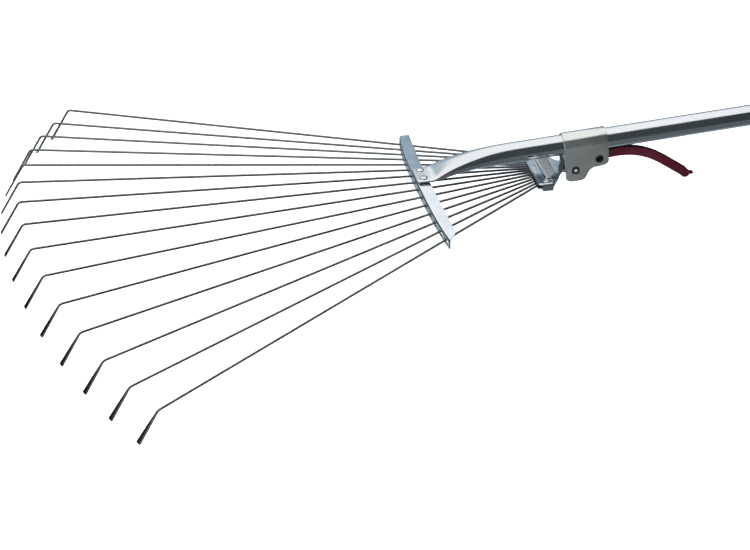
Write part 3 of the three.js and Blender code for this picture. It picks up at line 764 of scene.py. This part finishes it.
def rivet(shank, head, low, high, x, y):
    """A rivet standing up: shallow domed head above, flat closing head below."""
    dome = [(head * math.cos(t), high + 0.25 + 0.36 * head * math.sin(t))
            for t in (math.radians(d) for d in (0, 12, 25, 38, 50, 62, 74, 83, 88))]
    foot = 0.8 * head
    profile = [(0.1, low - 1.2), (foot - 0.5, low - 1.2), (foot - 0.1, low - 1.05), (foot, low - 0.7),
               (foot, low), (shank, low), (shank, high), (head - 0.15, high), (head, high + 0.12), *dome]
    return as_object(turned(profile, 48, lambda a, b, h: (x + a, y + b, h)))


def bar_rivets():
    low = WEB_ABOVE - SHEET
    high = WEB_ABOVE + GAP + TONGUE_THICKNESS
    for side, name in ((1, "left"), (-1, "right")):
        x, y = BAR_RIVET
        piece = rivet(BAR_RIVET_RADIUS, BAR_RIVET_HEAD, low, high, x, side * y)
        settle(piece, f"bar_rivet_{name}_fine", FAN, "handle", [f"bar_rivet_{name}"], "zinc", ZINC)


# ---------------------------------------------------------------- bracket, pins and lever


def slider_bracket():
    """One sheet folded over the tube, with two shaped cheeks that hold both pins."""
    front, rear, outer = bracket_low.x, bracket_high.x, bracket_high.y
    inner = outer - SHEET
    bottom = bracket_low.z - 5
    saddle = [(outer, bottom), *arc(0, 0, outer, 0, 180, 64), (-outer, bottom), (-inner, bottom),
              *arc(0, 0, inner, 180, 0, 64), (inner, bottom)]
    piece = as_object(sweep(saddle, front, rear, lengthways))
    heel = front + 4.5
    toe = front + 16.5
    low = bracket_low.z
    cheek = [(front - 1, 20), (front - 1, -32),
             *bezier((front - 0.1, -33.2), (front + 0.4, -36.2), (heel, low + 0.4)),
             *bezier((heel, low + 0.4), (front + 10, low - 0.2), (toe, low)),
             *bezier((toe, low), (toe + 8, low), (toe + 5.5, -26.2), (toe + 16, -25.4)),
             (rear - 5.6, -24.8), *bezier((rear - 5.6, -24.8), (rear, -24), (rear, -18)),
             (rear + 1, -12), (rear + 1, 20)]
    carve(piece, "INTERSECT", sweep(cheek, -2 * outer, 2 * outer, sideways))
    soften(piece, 0.35)
    for x, z in ((HEAD_PIN.x, HEAD_PIN.z), LEVER_PIN):
        drill(piece, PIN_RADIUS, (-2 * outer, 2 * outer), lambda a, b, h: (x + a, h, z + b), sides=40)
    settle(piece, "slider_bracket_fine", HANDLE, "slider", ["slider_bracket"], "bracket", GREY_SHEET)


def pin(x, z, node, floor):
    """A hollow-ended rivet across the bracket, its ends rolled over the cheeks; floor finishes its bores."""
    inside = bracket_high.y + 0.05
    outside = bracket_high.y + 1.4
    deep = outside - PIN_RECESS
    roll = (PIN_FLANGE - PIN_BORE) / 2
    proud = 0.9
    rim = [(PIN_BORE + roll * (1 - math.cos(t)), outside - proud * (1 - math.sin(t)))
           for t in (math.radians(a) for a in range(0, 181, 20))]
    half = [(0.1, deep + 0.5), (0.9, deep + 0.35), (1.5, deep), (PIN_BORE, deep - 0.1), *rim,
            (PIN_FLANGE, inside), (PIN_RADIUS, inside)]
    profile = half + [(r, -h) for r, h in reversed(half)]
    piece = as_object(turned(profile, 48, lambda a, b, h: (x + a, h, z + b)))
    for face in piece.data.polygons:
        off = max(math.hypot(*(c - o for c, o in zip((v.x, v.z), (x, z)))) for v in
                  (piece.data.vertices[i].co for i in face.vertices))
        face.material_index = 1 if off < PIN_BORE + 0.01 else 0
    settle(piece, f"{node}_fine", HANDLE, "slider", [node], "rivet", DARK_STEEL, floor)


def lever_spine():
    """The lever's spine leaves the pin almost level, then bends down and away from the tube."""
    steps = 72
    x, z = LEVER_PIN[0], LEVER_PIN[1] - LEVER_DROP
    spine = [(x, z, math.radians(LEVER_SLOPE))]
    for i in range(1, steps + 1):
        bent = smoothstep(LEVER_LENGTH * (i - 0.5) / steps, *LEVER_BENT)
        angle = math.radians(LEVER_SLOPE - LEVER_BEND * bent)
        x += LEVER_LENGTH / steps * math.cos(angle)
        z += LEVER_LENGTH / steps * math.sin(angle)
        spine.append((x, z, angle))
    return spine


def lock_lever():
    """The curved lever with a lip at its tail, and the cam that presses on the underside of the tube."""
    spine = lever_spine()

    def edge(side):
        points = []
        for i, (x, z, angle) in enumerate(spine):
            share = i / (len(spine) - 1)
            half = side / 2 * (LEVER_DEPTH[0] + (LEVER_DEPTH[1] - LEVER_DEPTH[0]) * share)
            points.append((x - half * math.sin(angle), z + half * math.cos(angle)))
        return points

    x, z, angle = spine[-1]
    level, slope = math.cos(angle), math.sin(angle)

    def past_end(along, up):
        return (x + along * level - up * slope, z + along * slope + up * level)

    crown = bezier((0, LEVER_DEPTH[1] / 2), (3.5, 4.4), (5.5, 3.2), (8, 2.9), steps=12)
    lip = [*bezier((8, 2.9), (9.8, 3.2), (11.5, 4.6), steps=5), (11.8, 4.4), (11.8, 3.8),
           *bezier((11.8, 3.8), (10.4, 1.8), (8.8, 1.2), steps=6)]
    chin = bezier((8.8, 1.2), (9, -2.6), (7.2, -6.2), (0, -LEVER_DEPTH[1] / 2), steps=14)
    tail = [past_end(*p) for p in (*crown, *lip, *chin[:-1])]
    piece = as_object(sweep(edge(1) + tail + edge(-1)[::-1], -LEVER_WIDTH / 2, LEVER_WIDTH / 2, sideways))
    soften(piece, 0.5)
    reach = -LEVER_PIN[1] - TUBE_RADIUS - GAP
    cam = arc(*LEVER_PIN, reach, -30, 112, 24) + arc(*LEVER_PIN, 4.4, 130, 315, 30)
    barrel = as_object(sweep(cam, -CAM_WIDTH / 2, CAM_WIDTH / 2, sideways))
    soften(barrel, 0.4)
    tool = bmesh.new()
    tool.from_mesh(barrel.data)
    bpy.data.objects.remove(barrel)
    carve(piece, "UNION", tool)
    x, z = LEVER_PIN
    drill(piece, PIN_RADIUS, (-CAM_WIDTH, CAM_WIDTH), lambda a, b, h: (x + a, h, z + b), sides=40)
    # painted shade: every face that doesn't face sideways, the top and the edges among them, gets the
    # near-black material
    for face in piece.data.polygons:
        face.material_index = 0 if abs(face.normal.y) > 0.55 else 1
    settle(piece, "lock_lever_fine", HANDLE, "lever", ["lock_lever"], "lever", MAROON, SHADED_LEVER_EDGE)


# ---------------------------------------------------------------- tine head


def pressed_tray(corners, radii, skirt):
    """A plate over the head's roof, its edges turned down all round over a rounded shoulder."""
    top = HEAD_ROOF + SHEET
    outer_bend, inner_bend = 2.2, 0.9
    section = [(SHEET + inner_bend * (1 - math.sin(t)), HEAD_ROOF - inner_bend * (1 - math.cos(t)))
               for t in (math.radians(a) for a in range(0, 91, 15))]
    hem = top - skirt
    section += [(SHEET, hem + 0.2), (SHEET - 0.2, hem), (0.2, hem), (0, hem + 0.2)]
    section += [(outer_bend * (1 - math.cos(t)), top - outer_bend * (1 - math.sin(t)))
                for t in (math.radians(a) for a in range(0, 91, 10))]
    rings = []
    for inset, z in section:
        plan = rounded(widened(corners, -inset), [max(0.4, radius - 0.5 * inset) for radius in radii])
        rings.append([(x, y, z) for x, y in plan])
    return loft(rings)


def head_top_plate():
    """Pressed plate: rolled front lip, rimmed window, edges turned down and two ears for the head pin."""
    front, side, drop, top = head_low.x, head_high.y, head_low.z, HEAD_ROOF + SHEET
    flange_front, flange_rear, tang_front, tang_rear = front + 4.8, front + 16.5, front + 33.3, front + 40.3
    ear_outer = 10.8
    half = [(front, side - 2.8), (flange_front, side), (flange_rear, side), (front + 24.5, 24.6),
            (tang_front, ear_outer), (tang_rear, ear_outer)]
    radii = [1.5, 1.5, 2, 4, 4, 1.5]
    piece = as_object(pressed_tray(mirrored(half), radii + radii[::-1], 3))
    inner = ear_outer - SHEET
    # the skirt is open in front, where the tines leave, and behind, between the ears
    mouths = (((front - 1, flange_front), side + 1), ((tang_rear - 3, tang_rear + 1), inner))
    for (low_x, high_x), reach in mouths:
        mouth = [(low_x, -reach), (high_x, -reach), (high_x, reach), (low_x, reach)]
        carve(piece, "DIFFERENCE", sweep(mouth, drop, HEAD_ROOF, upright))
    window = mirrored([(front + 11.5, 26.6), (front + 17.7, 26.6), (front + 23.7, 20)])
    rim = rounded(widened(window, 1.6), 2.2)
    crest = rounded(widened(window, 0.9), 1.8)
    carve(piece, "UNION", loft([[(x, y, z) for x, y in ring] for ring, z in
                                ((rim, HEAD_ROOF + 0.3), (rim, top), (crest, top + 0.8))]))
    lip_radius = 1.4
    lip = [(front, HEAD_ROOF + 0.05), *arc(front + lip_radius, top - 0.5, lip_radius, 180, 0, 14),
           (front + 2 * lip_radius, HEAD_ROOF + 0.05)]
    carve(piece, "UNION", sweep(lip, -35, 35, sideways))
    for s in (-1, 1):
        flange = [(flange_front, 1), (flange_front, drop), (flange_rear, drop), (flange_rear, 1)]
        flange = rounded(flange, [0.1, 2, 1.4, 0.1])
        carve(piece, "UNION", sweep(flange, s * (side - SHEET), s * side, sideways))
        ear = [(tang_front, top - 2.6), (tang_front, -0.5), (HEAD_EAR.x - 3, HEAD_EAR.z - EAR_RADIUS + 0.4),
               *arc(HEAD_EAR.x, HEAD_EAR.z, EAR_RADIUS, -90, 60, 20), (tang_rear - 0.5, top - 2.6)]
        carve(piece, "UNION", sweep(ear, s * inner, s * ear_outer, sideways))
    carve(piece, "DIFFERENCE", sweep(rounded(window, 1.4), HEAD_ROOF - 2, top + 3, upright))
    soften(piece, 0.2, 2, 50)
    x, y = HEAD_RIVET
    for s in (-1, 1):
        drill(piece, HEAD_RIVET_RADIUS, (0, 9), lambda a, b, h: (x + a, s * y + b, h))
    drill(piece, PIN_RADIUS, (-2 * ear_outer, 2 * ear_outer),
          lambda a, b, h: (HEAD_EAR.x + a, h, HEAD_EAR.z + b), sides=40)
    settle(piece, "head_top_plate_fine", FAN, "head", ["head_top_plate"], "zinc", SHADED_HEAD_ZINC)


def head_bottom_plate():
    """The flat plate that closes the head from below."""
    front, side = head_low.x, head_high.y - SHEET - GAP
    half = [(front + 0.8, 34), (front + 5.1, side), (front + 16.5, side), (front + 24.1, 23.5),
            (front + 29.3, 14)]
    outline = rounded(mirrored(half), [1.5, 1.5, 2, 4, 2, 2, 4, 2, 1.5, 1.5])
    piece = soften(as_object(sweep(outline, HEAD_FLOOR - SHEET, HEAD_FLOOR, upright)), 0.3)
    x, y = HEAD_RIVET
    for side in (-1, 1):
        drill(piece, HEAD_RIVET_RADIUS, (-9, 0), lambda a, b, h: (x + a, side * y + b, h))
    settle(piece, "head_bottom_plate_fine", FAN, "head", ["head_bottom_plate"], "zinc", SHADED_HEAD_ZINC)


def head_rivets():
    for side, name in ((1, "left"), (-1, "right")):
        x, y = HEAD_RIVET
        piece = rivet(HEAD_RIVET_RADIUS, HEAD_RIVET_HEAD, HEAD_FLOOR - SHEET, HEAD_ROOF + SHEET, x, side * y)
        settle(piece, f"head_rivet_{name}_fine", FAN, "head", [f"head_rivet_{name}"], "zinc", ZINC)


# ---------------------------------------------------------------- tines


def tine_pivot(k):
    return Vector((outer_pivot.x, outer_pivot.y * k / OUTER, 0))


def wire_path(corners, bend):
    """Points and headings along a wire with a rounded corner between each two straight stretches."""
    path = [(corners[0], (corners[1] - corners[0]).normalized())]
    for before, corner, after in zip(corners, corners[1:], corners[2:]):
        start = corner + bend * (before - corner).normalized()
        end = corner + bend * (after - corner).normalized()
        for i in range(9):
            t = i / 8
            at = start.lerp(corner, t).lerp(corner.lerp(end, t), t)
            path.append((at, ((1 - t) * (corner - start) + t * (end - corner)).normalized()))
    return path


def wire_ring(at, way, flat, thick, wide, square=2):
    """The wire's ring at one place, its width along flat, which is square to the front bend's plane."""
    across = (flat - flat.dot(way) * way).normalized()
    up = way.cross(across)
    ring = []
    for i in range(WIRE_SIDES):
        angle = 2 * math.pi * (i + 0.5) / WIRE_SIDES
        a, b = (math.copysign(abs(v) ** (2 / square), v) for v in (math.cos(angle), math.sin(angle)))
        ring.append(at + wide / 2 * a * across + thick / 2 * b * up)
    return ring


def tine(k, name):
    """A short end bent up in the head's window, the long spring wire, and the bent tip, beaten flat."""
    pivot = tine_pivot(k)
    y = k * SLOT_PITCH
    run = (Vector((bar_back(y) + SHEET / 2, y, -bar_fall(y))) - pivot).normalized()
    up = Vector((math.cos(HOOK_ANGLE), 0, math.sin(HOOK_ANGLE)))
    down = Vector((-math.cos(TIP_ANGLE), 0, -math.sin(TIP_ANGLE)))
    hook = pivot + HOOK_LENGTH * up
    bend = pivot + TINE_REACH * run
    path = wire_path([hook, pivot, bend, bend + TIP_FLARE_FROM * down], WIRE_BEND)
    flat = down.cross(run)
    cut = 0.25
    rings = [wire_ring(hook, -up, flat, WIRE - 2 * cut, WIRE - 2 * cut),
             wire_ring(hook - cut * up, -up, flat, WIRE, WIRE)]
    steps = 12
    middle = len(path) // 2
    for i, (at, way) in enumerate(path[1:]):
        if i == middle:
            start, stop = path[i][0], at
            rings += [wire_ring(start.lerp(stop, j / steps), way, flat, WIRE, WIRE) for j in range(1, steps)]
        rings.append(wire_ring(at, way, flat, WIRE, WIRE))
    flare = TIP_LENGTH - TIP_WEAR - TIP_FLARE_FROM
    square = 3.2
    for i in range(1, steps + 1):
        share = i / steps
        thick = WIRE + (TIP_THICKNESS - WIRE) * share ** 0.8
        wide = WIRE + (TIP_WIDTH - WIRE) * share ** 0.8
        at = bend + (TIP_FLARE_FROM + flare * share) * down
        rings.append(wire_ring(at, down, flat, thick, wide, 2 + (square - 2) * share))
    worn_end = ((-1, 0.97, 0.99), (-0.6, 0.9, 0.95), (-0.25, 0.75, 0.86), (0, 0.5, 0.7))
    for short, thick, wide in worn_end:
        at = bend + (TIP_LENGTH + short) * down
        rings.append(wire_ring(at, down, flat, thick * TIP_THICKNESS, wide * TIP_WIDTH, square))
    body = name if name in frame["bodies"] else "head"
    settle(as_object(loft(rings)), f"{name}_fine", FAN, body, [name], "tine", SPRING_STEEL)


# ---------------------------------------------------------------- studio

CAMERA_AIM = (-80.01, -177, 0)  # in the fan frame
CAMERA_DISTANCE = 3.2449  # metres
CAMERA_AZIMUTH = math.radians(-9.01)
CAMERA_ELEVATION = math.radians(31.183)
CAMERA_ROLL = math.radians(-6.4006)
CAMERA_LENS = 158.08


def camera():
    """A long lens, from where the photograph was taken."""
    data = bpy.data.cameras.new("camera")
    data.sensor_width = 36
    data.lens = CAMERA_LENS
    data.clip_end = 100
    made = bpy.data.objects.new("camera", data)
    level = math.cos(CAMERA_ELEVATION)
    back = Vector((level * math.sin(CAMERA_AZIMUTH), -level * math.cos(CAMERA_AZIMUTH),
                   math.sin(CAMERA_ELEVATION)))
    facing = (-back).to_track_quat("-Z", "Y").to_matrix().to_4x4()
    place = Matrix.Translation(FAN @ Vector(CAMERA_AIM) + CAMERA_DISTANCE * back)
    made.matrix_world = place @ facing @ Matrix.Rotation(CAMERA_ROLL, 4, "Z")
    bpy.context.scene.collection.objects.link(made)
    bpy.context.scene.camera = made


def floor():
    """Plain white paper, just under the rake."""
    bm = bmesh.new()
    reach = 40
    corners = [(-reach, -reach, 0), (reach, -reach, 0), (reach, reach, 0), (-reach, reach, 0)]
    bm.faces.new([bm.verts.new(corner) for corner in corners])
    made = as_object(bm, "floor")
    made.location.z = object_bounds()[0].z - 0.5 * MM
    made.visible_glossy = False
    paper, tree, shader = surface("paper", 0.0, Specular_IOR_Level=0.0, Roughness=1.0,
                                  Emission_Color=(1, 1, 1, 1), Emission_Strength=0.75)
    fibre = noise(tree, 6, detail=3)
    link(tree, shader, Base_Color=blend(tree, fibre, (0.90, 0.90, 0.90), (0.92, 0.92, 0.92)))
    made.data.materials.append(paper)
    made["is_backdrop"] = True


def studio():
    """A white ceiling that leans over the far side, darker walls and ground for reflections, and one lamp."""
    world = bpy.data.worlds.new("studio")
    bpy.context.scene.world = world
    world.use_nodes = True
    tree = world.node_tree
    background = tree.nodes["Background"]
    direction = tree.nodes.new("ShaderNodeTexCoord").outputs["Generated"]
    parts = add_node(tree, "ShaderNodeSeparateXYZ", {"Vector": direction})
    lean = math.radians(16)
    ceiling = (0, math.sin(lean), math.cos(lean))
    height = add_node(tree, "ShaderNodeVectorMath", {0: direction, 1: ceiling}, operation="DOT_PRODUCT")
    x, y, z = (parts.outputs[axis] for axis in "XYZ")
    far = span(tree, y, 0, 1, -0.15, 0.25)
    behind = span(tree, x, 0, 1, 0.2, 0.55)
    near_wall = blend(tree, behind, (0.047, 0.061, 0.067), (0.010, 0.012, 0.013))
    card = calculate(tree, "MULTIPLY", span(tree, x, 0, 1, -0.15, -0.4), span(tree, y, 0, 1, -0.4, -0.6))
    near_wall = blend(tree, card, near_wall, (0.70, 0.74, 0.76))
    wall_foot = span(tree, z, 1, 0, -0.06, 0.04)
    far_wall = blend(tree, behind, (0.34, 0.44, 0.51), (0.05, 0.065, 0.075))
    far_wall = blend(tree, wall_foot, far_wall, (0.03, 0.04, 0.045))
    far_wall = blend(tree, span(tree, x, 0, 1, -0.3, -0.5), far_wall, (0.012, 0.015, 0.017))
    walls = blend(tree, far, near_wall, far_wall)
    near_ground = blend(tree, behind, (0.112, 0.133, 0.140), (0.02, 0.024, 0.025))
    ground = blend(tree, far, near_ground, (0.30, 0.39, 0.45))
    sides = blend(tree, span(tree, z, 0, 1, -0.28, -0.42), walls, ground)
    rim, inner_rim = (math.cos(math.radians(a)) for a in (49, 45))
    overhead = span(tree, height.outputs["Value"], 0, 1, rim, inner_rim)
    room = blend(tree, overhead, sides, (0.97, 0.98, 1.0))
    path = tree.nodes.new("ShaderNodeLightPath")
    backdrop = blend(tree, path.outputs["Is Camera Ray"], room, (1.0, 1.0, 1.0))
    tree.links.new(backdrop, background.inputs["Color"])
    tree.links.new(span(tree, path.outputs["Is Diffuse Ray"], 1.0, 1.8, 0, 1), background.inputs["Strength"])
    bpy.context.scene.view_settings.view_transform = "Standard"

    panel = bpy.data.lights.new("panel", "AREA")
    panel.shape = "RECTANGLE"
    panel.size = 3
    panel.size_y = 2
    panel.energy = 18
    made = bpy.data.objects.new("panel", panel)
    made.location = (-0.3, -0.6, 2.4)
    made.rotation_euler = (math.radians(-14), 0, 0)
    made.visible_glossy = False
    bpy.context.scene.collection.objects.link(made)


camera()
handle_tube()
hand_grip()
end_cap()
cross_bar()
bar_rivets()
slider_bracket()
# the head pin's bore gets the pale material: a painted highlight
pin(HEAD_PIN.x, HEAD_PIN.z, "head_pin", PALE_BORE_HIGHLIGHT)
pin(*LEVER_PIN, "lever_pin", DARK_STEEL)
lock_lever()
head_top_plate()
head_bottom_plate()
head_rivets()
for number, tine_name in enumerate(tine_names):
    tine(OUTER - number, tine_name)
floor()
studio()
